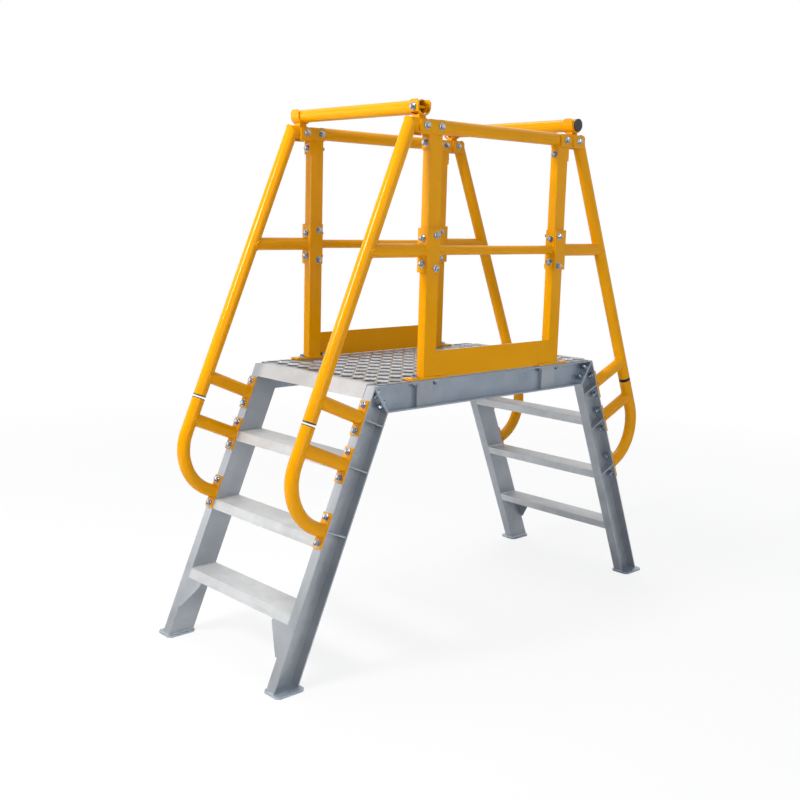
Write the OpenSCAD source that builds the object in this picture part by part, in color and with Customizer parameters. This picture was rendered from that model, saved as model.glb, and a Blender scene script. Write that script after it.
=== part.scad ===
// Crossover platform: two four-rise aluminium stairs joined by a grated deck,
// with tubular guardrails and a lift-up safety bar across each stair head.
// X runs along the walking direction, Y across it, Z up.
// The origin lies on the floor, midway between the four feet.
// "left" is the stair at -X, "right" the stair at +X; "near" is -Y, "far" is +Y.

/* [Platform] */
// Height of the side channels' top above the floor
deck_h = 1000; // [800:10:1400]
// Length of the deck between the two stairs' front faces
deck_l = 1229; // [1000:1:2400]
// Width over the outer flanges of the side channels
frame_w = 692; // [560:2:1000]
// Thickness of the deck sheet
sheet_t = 4; // [2:0.5:6]
// Depth of the deck sheet's folded edges
sheet_skirt = 22; // [12:1:40]
// Pitch of the diamond openings along X
diamond_pitch_x = 61.5; // [50:0.5:90]
// Pitch of the diamond openings along Y
diamond_pitch_y = 63; // [50:0.5:90]
// Side of one diamond opening
diamond_side = 36; // [20:0.5:42]
// Height of the nosing's front face
nosing_h = 48; // [30:1:70]

/* [Stairs] */
// Slope of the stairs
stair_angle = 66.9; // [60:0.1:75]
// Depth of the stile and side channels
channel_d = 98; // [80:1:140]
// Width of the channel flanges
flange_w = 41; // [30:1:60]
// Thickness of the channel webs and flanges
channel_t = 5; // [3:0.5:8]
// Height of the tread's front and back lips
tread_lip = 34; // [20:1:50]
// Thickness of the tread sheet
tread_t = 4; // [2:0.5:6]
// Thickness of the stile ribs and of the bolted joint plates
rib_t = 5; // [3:0.5:8]

/* [Feet] */
// Thickness of a foot plate
foot_t = 8; // [5:1:15]
// How far a foot plate reaches past the stile, outwards
foot_out = 31; // [20:1:60]
// How far a foot plate reaches past the web, inwards
foot_in = 13; // [0:1:40]
// How far a foot plate reaches past the stile in front and behind
foot_over = 6; // [2:1:20]
// Diameter of the floor bolt holes
foot_hole_d = 13; // [8:0.5:18]

/* [Guardrail] */
// Outer diameter of handrails, top rails and safety bars
rail_d = 48.3; // [38:0.1:60]
// Wall of those tubes
rail_wall = 3.2; // [2:0.1:5]
// Outer diameter of the mid rails
midrail_d = 33.7; // [25:0.1:42]
// Height of the top rail's axis above the side channels
toprail_h = 885; // [800:5:1100]
// Height of the mid rail's axis above the side channels
midrail_h = 460; // [350:5:600]
// Distance of the post centres from the middle of the deck
post_x = 350.5; // [250:0.5:900]
// Size of a post along X
post_l = 58; // [40:1:80]
// Size of a post along Y
post_w = 36; // [25:1:60]
// Wall of a post
post_wall = 3; // [2:0.5:5]
// Length of a post's base plate
base_l = 180; // [140:2:240]
// Thickness of a post's base plate
base_t = 8; // [5:1:12]
// Height of the toe boards
toe_h = 100; // [80:1:200]
// Thickness of the toe boards
toe_t = 6; // [3:0.5:12]

/* [Handrails] */
// Distance of the stair handrail's axis from the stile's front face
handrail_off = 209; // [190:1:300]
// Radius of the bend at the handrail's foot, to the tube's axis
loop_r = 178; // [120:1:190]
// Height of the upper stile bracket
bracket_z1 = 893; // [850:1:920]
// Height of the middle stile bracket
bracket_z2 = 738; // [650:1:760]
// Height of the lower stile bracket
bracket_z3 = 524; // [450:1:560]
// Length of a stile bracket plate
bracket_l = 127; // [100:1:160]
// Thickness of the bracket plates
bracket_t = 7; // [4:0.5:10]
// Height of the mid brackets that wrap the posts
midbracket_h = 155; // [120:1:200]

/* [Safety bars] */
// Distance of a safety bar's axis from the middle of the deck
bar_x = 420; // [410:1:1000]
// Height of a safety bar's axis above the top rail's axis
bar_rise = 59; // [56:1:80]
// Thickness of the pivot bracket's and cradle's plates
saddle_t = 6; // [4:0.5:8]
// Gap on each side of the bar in its bracket
saddle_gap = 0.5; // [0.3:0.1:3]
// Diameter of the pivot bolt
pivot_d = 12; // [8:0.5:16]
// Clearance around the pivot bolt
pivot_gap = 0.3; // [0.1:0.1:0.5]

/* [Hidden] */
$fn = 48;
ALUMINIUM = "#c9ced3";
YELLOW = "#e8a213";
BLACK = "#2b2d30";

// Slope, in the near left corner: up is along the stile, in is square to it, into its depth
slope_cos = cos(stair_angle);
slope_sin = sin(stair_angle);
front_x = -deck_l / 2;
stile_dx = channel_d / slope_sin;
mitre_dx = stile_dx - channel_d * slope_cos / slope_sin;
half_w = frame_w / 2;
web_y = half_w - flange_w;
rail_y = half_w - flange_w / 2;
wall_part = channel_t / channel_d;
// Angle of the mitre line between stile and side channel, below the horizontal
mitre_angle = (180 - stair_angle) / 2;
joint_shift = rib_t / sin(mitre_angle);

// Treads: low, mid and high, with the deck as the fourth rise
rises = 4;
tread_rise = deck_h / rises;
tread_gap = 0.3;
rib_count = 14;
tread_rib_w = 3;
tread_rib_h = 1;

// Rails
rail_r = rail_d / 2;
rail_bore = rail_r - rail_wall;
toprail_z = deck_h + toprail_h;
midrail_z = deck_h + midrail_h;
post_in = post_x - post_l / 2;
post_out = post_x + post_l / 2;
deck_top = deck_h + sheet_t;
base_top = deck_top + base_t;
post_top = toprail_z + rail_r - 4;

// Handrail, measured up the stile from the lower bracket
up_mid = (bracket_z2 - bracket_z3) / slope_sin;
up_high = (bracket_z1 - bracket_z3) / slope_sin;
up_joiner = (up_mid + up_high) / 2;
joiner_w = 14;
end_cap_t = 3;
cap_plug = 20;
seam_w = 4;
seam_step = 0.3;
up_elbow = (toprail_z - bracket_z3 - handrail_off * slope_cos) / slope_sin;
up_midrail = (midrail_z - bracket_z3 - handrail_off * slope_cos) / slope_sin;

// Safety bars
bar_z = toprail_z + bar_rise;
bar_end = half_w + 6;
bar_tail = 12;
cap_t = 6;
saddle_l = 48;
saddle_chamfer = 10;
saddle_in = rail_r + saddle_gap;
saddle_out = saddle_in + saddle_t;
neck_l = 32;
neck_w = 30;
weld_gap = 0.2;

// Points of the side view
function front_at(z) = front_x - (deck_h - z) * slope_cos / slope_sin;
function on_mitre(part) = [front_x + part * mitre_dx, deck_h - part * channel_d];
function on_foot(part) = [front_at(foot_t) + part * stile_dx, foot_t];
function up_in(up, in) = [front_at(bracket_z3) + up * slope_cos + in * slope_sin,
                          bracket_z3 + up * slope_sin - in * slope_cos];
function flip(p) = [-p[0], p[1]];

// Moves a shape drawn in the near left corner to any corner
module corner(side, row) {
    if (side == "left" && row == "near") children();
    if (side == "left" && row == "far") mirror([0, 1, 0]) children();
    if (side == "right" && row == "near") mirror([1, 0, 0]) children();
    if (side == "right" && row == "far") rotate([0, 0, 180]) children();
}

module every_corner() {
    for (side = ["left", "right"], row = ["near", "far"]) corner(side, row) children();
}

// Plate with its outline in the side view, between two places across the walkway
module plate(points, y_low, y_high) {
    translate([0, y_high, 0]) rotate([90, 0, 0])
        linear_extrude(height = y_high - y_low) polygon(points);
}

// Box between two corners
module block(low, high) {
    translate(low) cube(high - low);
}

// Round bar in the side view's plane, between two points of it
module bar_between(from, to, r, y) {
    run = to - from;
    translate([from[0], y, from[1]]) rotate([0, atan2(run[0], run[1]), 0])
        cylinder(h = norm(run), r = r);
}

// Everything between two sloping planes, at two distances from a point of the side view
module slab(point, angle, low, high) {
    size = 4000;
    translate([point[0], 0, point[1]]) rotate([0, -angle, 0])
        translate([low, -size / 2, -size / 2]) cube([high - low, size, size]);
}

module stile() {
    color(ALUMINIUM) {
        plate([on_foot(0), on_foot(1), on_mitre(1), on_mitre(0)], -web_y - channel_t, -web_y);
        plate([on_foot(0), on_foot(wall_part), on_mitre(wall_part), on_mitre(0)], -half_w, -web_y);
        plate([on_foot(1 - wall_part), on_foot(1), on_mitre(1), on_mitre(1 - wall_part)],
              -half_w, -web_y);
        shift = joint_shift * [slope_cos, slope_sin];
        plate([on_mitre(0), on_mitre(1), on_mitre(1) - shift, on_mitre(0) - shift],
              -half_w, -web_y);
    }
}

module side_channel() {
    color(ALUMINIUM) {
        for (part = [[0, wall_part], [1 - wall_part, 1]])
            plate([on_mitre(part[0]), on_mitre(part[1]), flip(on_mitre(part[1])),
                   flip(on_mitre(part[0]))], -half_w, -web_y);
        plate([on_mitre(0), on_mitre(1), flip(on_mitre(1)), flip(on_mitre(0))],
              -web_y - channel_t, -web_y);
        shift = [joint_shift, 0];
        end_plate = [on_mitre(0), on_mitre(1), on_mitre(1) + shift, on_mitre(0) + shift];
        plate(end_plate, -half_w, -web_y);
        plate([for (p = end_plate) flip(p)], -half_w, -web_y);
    }
}

module foot_plate() {
    chamfer = 12;
    x0 = front_at(foot_t) - foot_over;
    x1 = x0 + stile_dx + 2 * foot_over;
    y0 = -half_w - foot_out;
    y1 = -web_y + foot_in;
    color(ALUMINIUM) difference() {
        linear_extrude(height = foot_t)
            polygon([[x0 + chamfer, y0], [x1 - chamfer, y0], [x1, y0 + chamfer],
                     [x1, y1 - chamfer], [x1 - chamfer, y1], [x0 + chamfer, y1],
                     [x0, y1 - chamfer], [x0, y0 + chamfer]]);
        translate([(x0 + x1) / 2, -half_w - foot_out / 2, -1])
            cylinder(h = foot_t + 2, d = foot_hole_d);
    }
}

module foot_plates() {
    every_corner() foot_plate();
}

// Ribs that stiffen the stile behind the three handrail brackets
module stile_ribs() {
    color(ALUMINIUM) every_corner()
        for (z = [bracket_z1, bracket_z2, bracket_z3]) {
            up = (z - bracket_z3) / slope_sin;
            plate([up_in(up - rib_t / 2, channel_t), up_in(up - rib_t / 2, channel_d - channel_t),
                   up_in(up + rib_t / 2, channel_d - channel_t), up_in(up + rib_t / 2, channel_t)],
                  -half_w + 1, -web_y - channel_t);
        }
}

// Tread sheet with a ribbed top and two lips that lean with the stile
module tread(side, row) {
    z = row * tread_rise;
    x0 = front_at(z);
    lean = tread_lip * slope_cos / slope_sin;
    wall_dx = tread_t / slope_sin;
    wall_lean = tread_t * slope_cos / slope_sin;
    pitch = (stile_dx - 2 * wall_dx) / rib_count;
    top_ribs = [for (i = [0:rib_count - 1]) each
        [[x0 + stile_dx - wall_dx - i * pitch, z],
         [x0 + stile_dx - wall_dx - i * pitch - tread_rib_w / 2, z - tread_rib_h],
         [x0 + stile_dx - wall_dx - i * pitch - tread_rib_w, z]]];
    outline = concat(
        [[x0, z], [x0 - lean, z - tread_lip], [x0 - lean + wall_dx, z - tread_lip],
         [x0 + wall_dx - wall_lean, z - tread_t],
         [x0 + stile_dx - wall_dx - wall_lean, z - tread_t],
         [x0 + stile_dx - wall_dx - lean, z - tread_lip],
         [x0 + stile_dx - lean, z - tread_lip], [x0 + stile_dx, z]],
        top_ribs);
    color(ALUMINIUM) corner(side, "near")
        plate(outline, -web_y + tread_gap, web_y - tread_gap);
}

// Corner gussets under the lowest tread, in the plane of its front lip
module tread_gussets() {
    gusset_w = 84;
    gusset_h = 104;
    top = tread_rise - tread_lip;
    shift = tread_t / slope_sin;
    color(ALUMINIUM) every_corner()
        intersection() {
            plate([[front_at(0), 0], [front_at(0) + shift, 0],
                   [front_at(top) + shift, top], [front_at(top), top]],
                  -web_y + tread_gap, -web_y + gusset_w);
            translate([front_at(top) - gusset_h, 0, 0]) rotate([90, 0, 90])
                linear_extrude(height = 2 * gusset_h)
                    polygon([[-web_y, top - gusset_h], [-web_y + 10, top - gusset_h],
                             [-web_y + gusset_w, top - 10], [-web_y + gusset_w, top],
                             [-web_y, top]]);
        }
}

// Packers inside the side channels, under the posts
module post_packers() {
    packer_w = 80;
    packer_t = 14;
    color(ALUMINIUM) every_corner()
        block([-post_x - packer_w / 2, -web_y - channel_t - packer_t, deck_h - channel_d + channel_t],
              [-post_x + packer_w / 2, -web_y - channel_t, deck_h - channel_t]);
}

module deck_bearers() {
    leg = 40;
    top = deck_h - sheet_skirt;
    color(ALUMINIUM) for (x = [-deck_l / 4, 0, deck_l / 4]) {
        block([x, -web_y + tread_gap, top - channel_t], [x + leg, web_y - tread_gap, top]);
        block([x, -web_y + tread_gap, top - leg], [x + channel_t, web_y - tread_gap, top]);
    }
}

nosing_leg = 28;
nosing_t = 5;
module nosing(side) {
    wall_dx = nosing_t / slope_sin;
    lean = nosing_h * slope_cos / slope_sin;
    color(ALUMINIUM) corner(side, "near")
        plate([[front_x, deck_top], [front_x - lean, deck_top - nosing_h],
               [front_x - lean + wall_dx, deck_top - nosing_h],
               [front_x + wall_dx, deck_h - 1], [front_x + nosing_leg, deck_h - 1],
               [front_x + nosing_leg, deck_top]],
              -web_y + tread_gap, web_y - tread_gap);
}

// Deck sheet with diamond openings, folded down along its two inner edges
module deck_grating() {
    gap = 0.3;
    x1 = -front_x - nosing_leg - gap;
    border = 12;
    columns = floor((2 * x1 - 2 * border) / diamond_pitch_x - 0.5);
    rows = floor((frame_w - 2 * border) / diamond_pitch_y - 0.5);
    color(ALUMINIUM) {
        translate([0, 0, deck_h]) linear_extrude(height = sheet_t) difference() {
            translate([-x1, -half_w + 1]) square([2 * x1, frame_w - 2]);
            for (i = [-columns / 2:columns / 2], j = [-rows / 2:rows / 2])
                translate([i * diamond_pitch_x, j * diamond_pitch_y]) rotate(45)
                    square(diamond_side, center = true);
        }
        for (y = [-web_y + gap, web_y - gap - sheet_t])
            block([-x1, y, deck_h - sheet_skirt], [x1, y + sheet_t, deck_h]);
    }
}

module post() {
    inner = [post_l - 2 * post_wall, post_w - 2 * post_wall];
    color(YELLOW) difference() {
        union() {
            block([-post_out, -rail_y - post_w / 2, deck_top],
                  [-post_in, -rail_y + post_w / 2, post_top]);
            block([-post_x - base_l / 2, -rail_y - post_w / 2 - 2, deck_top],
                  [-post_x + base_l / 2, -rail_y + post_w / 2 + 2, base_top]);
        }
        translate([-post_x - inner[0] / 2, -rail_y - inner[1] / 2, deck_top - 1])
            cube([inner[0], inner[1], post_top - deck_top + 1 - post_wall]);
    }
}

module toe_board(row) {
    base_x = post_x - base_l / 2 - 1;
    y1 = -rail_y - post_w / 2 + toe_t;
    top = base_top + toe_h - base_t;
    color(YELLOW) corner("left", row)
        plate([[-post_in, base_top + 1], [-base_x, base_top + 1], [-base_x, deck_top + 2],
               [base_x, deck_top + 2], [base_x, base_top + 1], [post_in, base_top + 1],
               [post_in, top], [-post_in, top]],
              y1 - toe_t, y1);
}

// Straight tube between the two posts of a row
module row_tube(row, z, d) {
    color(YELLOW) corner("left", row) difference() {
        bar_between([-post_in, z], [post_in, z], d / 2, -rail_y);
        bar_between([-post_in - 1, z], [post_in + 1, z], d / 2 - rail_wall, -rail_y);
    }
}

module mid_rails() {
    for (row = ["near", "far"]) row_tube(row, midrail_z, midrail_d);
}

// Ears of a bracket on both sides of a rail or post, with a rounded top corner
module ears(x0, x1, z0, z1, gap, t) {
    round_r = 14;
    for (y = [-rail_y - gap / 2 - t, -rail_y + gap / 2])
        difference() {
            block([x0, y, z0], [x1, y + t, z1]);
            difference() {
                block([x1 - round_r, y - 1, z1 - round_r], [x1 + 1, y + t + 1, z1 + 1]);
                translate([x1 - round_r, y - 2, z1 - round_r]) rotate([-90, 0, 0])
                    cylinder(h = t + 4, r = round_r);
            }
        }
}

face_plate_drop = 81;
top_bracket_h = 50;
right_ear_reach = 25;
// Bracket of a left post: it clasps the post and holds the handrail's stub in its ears
module left_top_bracket() {
    z0 = post_top - top_bracket_h;
    ear_gap = rail_d + 2 * weld_gap;
    block([-post_out - bracket_t, -rail_y - post_w / 2, toprail_z - face_plate_drop],
          [-post_out, -rail_y + post_w / 2, post_top]);
    for (y = [-rail_y - post_w / 2 - bracket_t, -rail_y + post_w / 2])
        block([-post_out - bracket_t, y, z0], [-post_in, y + bracket_t, post_top]);
    ears(-post_out - 61, -post_out - 5, z0 - 3, post_top - 3, ear_gap, bracket_t - 1);
    block([-post_out - bracket_t - 3, -rail_y - rail_r - 2, z0],
          [-post_out - 1, -rail_y + rail_r + 2, post_top - 5]);
}

// Bracket of a right post, drawn in the near left corner
module right_top_bracket() {
    z0 = post_top - top_bracket_h;
    ear_gap = rail_d + 2 * weld_gap;
    block([-post_out - bracket_t, -rail_y - post_w / 2, toprail_z - face_plate_drop],
          [-post_out, -rail_y + post_w / 2, post_top]);
    for (y = [-rail_y - post_w / 2 - bracket_t, -rail_y + post_w / 2])
        block([-post_out - right_ear_reach, y, z0], [-post_in - 6, y + bracket_t, post_top]);
    mirror([1, 0, 0])
        ears(post_out + 20, post_out + 90, z0, post_top, ear_gap, bracket_t - 1);
    block([-post_out - bracket_t - 3, -rail_y - rail_r - 2, z0],
          [-post_out - 1, -rail_y + rail_r + 2, post_top - 5]);
}

module top_brackets() {
    color(YELLOW) for (row = ["near", "far"]) {
        corner("left", row) left_top_bracket();
        corner("right", row) right_top_bracket();
    }
}

// Plate on the stile's front flange that carries a stub
module stile_bracket(z) {
    up = (z - bracket_z3) / slope_sin;
    plate([up_in(up - bracket_l / 2, -bracket_t), up_in(up - bracket_l / 2, 0),
           up_in(up + bracket_l / 2, 0), up_in(up + bracket_l / 2, -bracket_t)],
          -half_w, -web_y);
}

// Upper handrail's round parts: the inclined tube with its mitred top and its stubs
module handrail_tubes(r, seam_step, stub_end, joint_gap, sink) {
    elbow = up_in(up_elbow, -handrail_off);
    above_elbow = up_in(up_elbow + 2 * rail_d, -handrail_off);
    bisector = 90 - mitre_angle;
    reach = norm(above_elbow - up_in(0, 0)) + deck_l;
    intersection() {
        bar_between(up_in(up_joiner + joiner_w / 2 + joint_gap, -handrail_off), above_elbow,
                    r, -rail_y);
        slab(elbow, bisector, -reach, 0);
    }
    intersection() {
        bar_between([elbow[0] - 2 * rail_d, elbow[1]], [stub_end, elbow[1]], r, -rail_y);
        slab(elbow, bisector, 0, reach);
    }
    intersection() {
        bar_between(up_in(up_elbow - 2 * rail_d, -handrail_off), above_elbow,
                    r + seam_step, -rail_y);
        slab(elbow, bisector, -seam_w / 2, seam_w / 2);
    }
    bar_between(up_in(up_high, -handrail_off), up_in(up_high, -bracket_t + sink), r, -rail_y);
    bar_between(up_in(up_midrail, -handrail_off), [-post_out - bracket_t + sink, midrail_z],
                r, -rail_y);
}

module handrail(side, row) {
    stub_end = -post_out - (side == "left" ? bracket_t + 6 : right_ear_reach + 1);
    color(YELLOW) corner(side, row) {
        difference() {
            handrail_tubes(rail_r, seam_step, stub_end, 0, bracket_t / 2);
            handrail_tubes(rail_bore, -seam_step, stub_end + 1, -1, 0);
        }
        stile_bracket(bracket_z1);
        block([-post_out - bracket_t, -rail_y - post_w / 2 - bracket_t, midrail_z - midbracket_h / 2],
              [-post_out, -rail_y + post_w / 2 + bracket_t, midrail_z + midbracket_h / 2]);
        for (y = [-rail_y - post_w / 2 - bracket_t, -rail_y + post_w / 2])
            block([-post_out - 1, y, midrail_z - midbracket_h / 2],
                  [-post_in - 2, y + bracket_t, midrail_z + midbracket_h / 2]);
    }
}

// Lower handrail's round parts: straight tube, bend and two stubs, with a low seam at each
// end of the bend
module loop_tubes(r, seam_step, joint_gap, sink) {
    bar_between(up_in(up_joiner - joiner_w / 2 + joint_gap, -handrail_off),
                up_in(loop_r, -handrail_off), r, -rail_y);
    centre = up_in(loop_r, loop_r - handrail_off);
    translate([centre[0], -rail_y, centre[1]]) rotate([0, -stair_angle, 0])
        rotate([90, 0, 0]) rotate([0, 0, 90])
            rotate_extrude(angle = 90) translate([loop_r, 0]) circle(r = r);
    bar_between(up_in(loop_r - seam_w / 2, -handrail_off), up_in(loop_r + seam_w / 2, -handrail_off),
                r + seam_step, -rail_y);
    bar_between(up_in(0, loop_r - handrail_off - seam_w / 2),
                up_in(0, loop_r - handrail_off + seam_w / 2), r + seam_step, -rail_y);
    bar_between(up_in(0, loop_r - handrail_off), up_in(0, -bracket_t + sink), r, -rail_y);
    bar_between(up_in(up_mid, -handrail_off), up_in(up_mid, -bracket_t + sink), r, -rail_y);
}

module rail_loop(side, row) {
    color(YELLOW) corner(side, row) {
        difference() {
            loop_tubes(rail_r, seam_step, 0, bracket_t / 2);
            loop_tubes(rail_bore, -seam_step, 1, 0);
        }
        stile_bracket(bracket_z2);
        stile_bracket(bracket_z3);
    }
}

// Plastic caps on the facing ends of the upper handrails and the loops, with a gap between
module rail_end_caps() {
    color(BLACK) every_corner() for (sign = [-1, 1]) {
        face = up_joiner + sign * (joiner_w / 2 - end_cap_t);
        tube_end = up_joiner + sign * joiner_w / 2;
        bar_between(up_in(face, -handrail_off), up_in(tube_end, -handrail_off), rail_r, -rail_y);
        bar_between(up_in(face, -handrail_off), up_in(tube_end + sign * cap_plug, -handrail_off),
                    rail_bore, -rail_y);
    }
}

// U-shaped saddle around a safety bar, on a short neck; sweep is the radius that the bar's
// end turns through inside it
module saddle(row_sign, sweep) {
    translate([-bar_x, row_sign * rail_y, bar_z]) {
        difference() {
            union() {
                translate([0, saddle_l / 2, 0]) rotate([90, 0, 0])
                    cylinder(h = saddle_l, r = saddle_out);
                translate([-saddle_out, 0, 0]) rotate([90, 0, 90])
                    linear_extrude(height = 2 * saddle_out)
                        polygon([[-saddle_l / 2, 0], [saddle_l / 2, 0],
                                 [saddle_l / 2, rail_r - saddle_chamfer],
                                 [saddle_l / 2 - saddle_chamfer, rail_r],
                                 [saddle_chamfer - saddle_l / 2, rail_r],
                                 [-saddle_l / 2, rail_r - saddle_chamfer]]);
                block([-neck_l / 2, -neck_w / 2, -bar_rise + rail_r - 8],
                      [neck_l / 2, neck_w / 2, -rail_r]);
            }
            translate([0, saddle_l / 2 + 1, 0]) rotate([90, 0, 0])
                cylinder(h = saddle_l + 2, r = saddle_in);
            block([-saddle_in, -saddle_l / 2 - 1, 0], [saddle_in, saddle_l / 2 + 1, saddle_out + 10]);
            translate([-neck_l, 0, -bar_rise]) rotate([0, 90, 0])
                cylinder(h = 2 * neck_l, r = rail_r + weld_gap);
            if (sweep > 0) translate([-saddle_in, 0, 0]) rotate([0, 90, 0])
                cylinder(h = 2 * saddle_in, r = sweep);
        }
    }
}

// Pivot saddle with its bolt, and the open cradle at the other end
module bar_saddles(side) {
    color(YELLOW) corner(side, side == "left" ? "near" : "far") {
        union() {
            saddle(-1, norm([rail_r, bar_tail]) + saddle_gap);
            translate([-bar_x - saddle_out, -rail_y, bar_z]) rotate([0, 90, 0])
                cylinder(h = 2 * saddle_out, d = pivot_d);
        }
        saddle(1, 0);
    }
}

// Lift-up bar, cut square a little past its pivot
module safety_bar(side) {
    color(YELLOW) corner(side, side == "left" ? "near" : "far")
        translate([-bar_x, -rail_y, bar_z]) difference() {
            translate([0, -bar_tail, 0]) rotate([-90, 0, 0])
                cylinder(h = bar_tail + rail_y + bar_end, r = rail_r);
            translate([0, -bar_tail - 1, 0]) rotate([-90, 0, 0])
                cylinder(h = bar_tail + rail_y + bar_end + 2, r = rail_bore);
            translate([-rail_d, 0, 0]) rotate([0, 90, 0])
                cylinder(h = 2 * rail_d, d = pivot_d + 2 * pivot_gap);
        }
}

module bar_end_cap(side) {
    color(BLACK) corner(side, side == "left" ? "near" : "far")
        translate([-bar_x, bar_end, bar_z]) rotate([-90, 0, 0]) {
            cylinder(h = cap_t, r = rail_r);
            translate([0, 0, -cap_plug]) cylinder(h = cap_plug + 1, r = rail_bore);
        }
}

corner("left", "near") stile();  // stile_left_near
corner("left", "far") stile();  // stile_left_far
corner("right", "near") stile();  // stile_right_near
corner("right", "far") stile();  // stile_right_far
foot_plates();
tread("left", 1);  // tread_left_low
tread("left", 2);  // tread_left_mid
tread("left", 3);  // tread_left_high
tread("right", 1);  // tread_right_low
tread("right", 2);  // tread_right_mid
tread("right", 3);  // tread_right_high
tread_gussets();
stile_ribs();
corner("left", "near") side_channel();  // side_channel_near
corner("left", "far") side_channel();  // side_channel_far
post_packers();
deck_bearers();
nosing("left");  // nosing_left
nosing("right");  // nosing_right
deck_grating();
corner("left", "near") post();  // post_left_near
corner("left", "far") post();  // post_left_far
corner("right", "near") post();  // post_right_near
corner("right", "far") post();  // post_right_far
toe_board("near");  // toe_board_near
toe_board("far");  // toe_board_far
row_tube("near", toprail_z, rail_d);  // top_rail_near
row_tube("far", toprail_z, rail_d);  // top_rail_far
mid_rails();
top_brackets();
handrail("left", "near");  // handrail_left_near
handrail("left", "far");  // handrail_left_far
handrail("right", "near");  // handrail_right_near
handrail("right", "far");  // handrail_right_far
rail_loop("left", "near");  // loop_left_near
rail_loop("left", "far");  // loop_left_far
rail_loop("right", "near");  // loop_right_near
rail_loop("right", "far");  // loop_right_far
rail_end_caps();
bar_saddles("left");  // bar_saddles_left
bar_saddles("right");  // bar_saddles_right
safety_bar("left");  // safety_bar_left
safety_bar("right");  // safety_bar_right
bar_end_cap("left");  // bar_end_cap_left
bar_end_cap("right");  // bar_end_cap_right
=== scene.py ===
import bpy, bmesh, math, random
from mathutils import Matrix, Vector


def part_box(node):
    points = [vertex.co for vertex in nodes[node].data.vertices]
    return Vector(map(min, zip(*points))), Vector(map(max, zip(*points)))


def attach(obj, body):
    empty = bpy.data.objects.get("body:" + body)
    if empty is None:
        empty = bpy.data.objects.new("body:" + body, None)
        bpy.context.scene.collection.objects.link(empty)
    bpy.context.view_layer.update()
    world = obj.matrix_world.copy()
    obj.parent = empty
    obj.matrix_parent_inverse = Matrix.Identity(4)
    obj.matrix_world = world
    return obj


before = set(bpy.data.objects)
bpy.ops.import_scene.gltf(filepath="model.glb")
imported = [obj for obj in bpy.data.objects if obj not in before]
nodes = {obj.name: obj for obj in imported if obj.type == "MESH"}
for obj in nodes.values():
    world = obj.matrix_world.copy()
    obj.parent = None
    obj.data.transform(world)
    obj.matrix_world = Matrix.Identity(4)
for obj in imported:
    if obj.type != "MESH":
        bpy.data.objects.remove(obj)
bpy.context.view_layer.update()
print("frame loaded,", len(nodes), "nodes")

mm = 0.001
corners = [(side, row) for side in ("left", "right") for row in ("near", "far")]
cornerSigns = {"left": 1, "right": -1, "near": 1, "far": -1}


def nodeBox(name):
    low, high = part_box(name)
    return Vector(low), Vector(high)


channelLow, channelHigh = nodeBox("side_channel_near")
postLow, postHigh = nodeBox("post_left_near")
railLow, railHigh = nodeBox("top_rail_near")
midLow, midHigh = nodeBox("mid_rails")
toeHigh = nodeBox("toe_board_near")[1]
deckHigh = nodeBox("deck_grating")[1]

wallT = 5 * mm                               # channels and mitre plates
plateT = 7 * mm                              # bracket plates
basePlateT = 8 * mm                          # under the posts and under the stiles
platform = {
    "frontX": channelLow.x,                  # stair face of the deck, left side
    "deckZ": channelHigh.z,                  # top of the side channels
    "halfW": -channelLow.y,
    "webY": wallT - channelHigh.y,           # outer face of the webs
    "slope": math.radians(66.9),
    "channelD": channelHigh.z - channelLow.z,
    "railR": (railHigh.z - railLow.z) / 2,
    "midR": (midHigh.z - midLow.z) / 2,
    "topZ": (railHigh.z + railLow.z) / 2,
    "midZ": (midHigh.z + midLow.z) / 2,
    "rowY": (railHigh.y + railLow.y) / 2,    # middle of the near row of posts
    "postX": -(postHigh.x + postLow.x) / 2,
    "postIn": -railLow.x,
    "postHalfW": 18 * mm,
    "basePlateTop": deckHigh.z + basePlateT,
    "handrailOff": 209 * mm,                 # handrail's axis from the stile's front face
}
platform["postOut"] = 2 * platform["postX"] - platform["postIn"]
bracketHeights = {"high": 893 * mm, "mid": 738 * mm, "low": 524 * mm}
cosS, sinS = math.cos(platform["slope"]), math.sin(platform["slope"])
stileDx = platform["channelD"] / sinS
mitreDx = stileDx - platform["channelD"] * cosS / sinS

upDir = Vector((cosS, 0, sinS))              # along the near left stile
inDir = Vector((sinS, 0, -cosS))             # into its depth
acrossDir = Vector((0, 1, 0))
alongX = Vector((1, 0, 0))
outward = Vector((0, -1, 0))
stairward = Vector((-1, 0, 0))


def frontAt(z):
    return platform["frontX"] - (platform["deckZ"] - z) * cosS / sinS


def upIn(up, depth, y=platform["rowY"]):
    # up the stile from the lower bracket, depth into it from its front face
    z0 = bracketHeights["low"]
    return Vector((frontAt(z0) + up * cosS + depth * sinS, y, z0 + up * sinS - depth * cosS))


def upOf(z):
    return (z - bracketHeights["low"]) / sinS


def toCorner(v, side, row):
    return Vector((v.x * cornerSigns[side], v.y * cornerSigns[row], v.z))


class Sock:
    # wraps a value socket, so that sums and products add Math nodes
    def __init__(self, shader, socket):
        self.shader = shader
        self.socket = socket

    def maths(self, operation, a, b):
        return self.shader.node("ShaderNodeMath", {"operation": operation}, {0: a, 1: b})

    def __add__(self, other):
        return self.maths("ADD", self, other)

    def __radd__(self, other):
        return self.maths("ADD", other, self)

    def __sub__(self, other):
        return self.maths("SUBTRACT", self, other)

    def __rsub__(self, other):
        return self.maths("SUBTRACT", other, self)

    def __mul__(self, other):
        return self.maths("MULTIPLY", self, other)

    def __rmul__(self, other):
        return self.maths("MULTIPLY", other, self)


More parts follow.
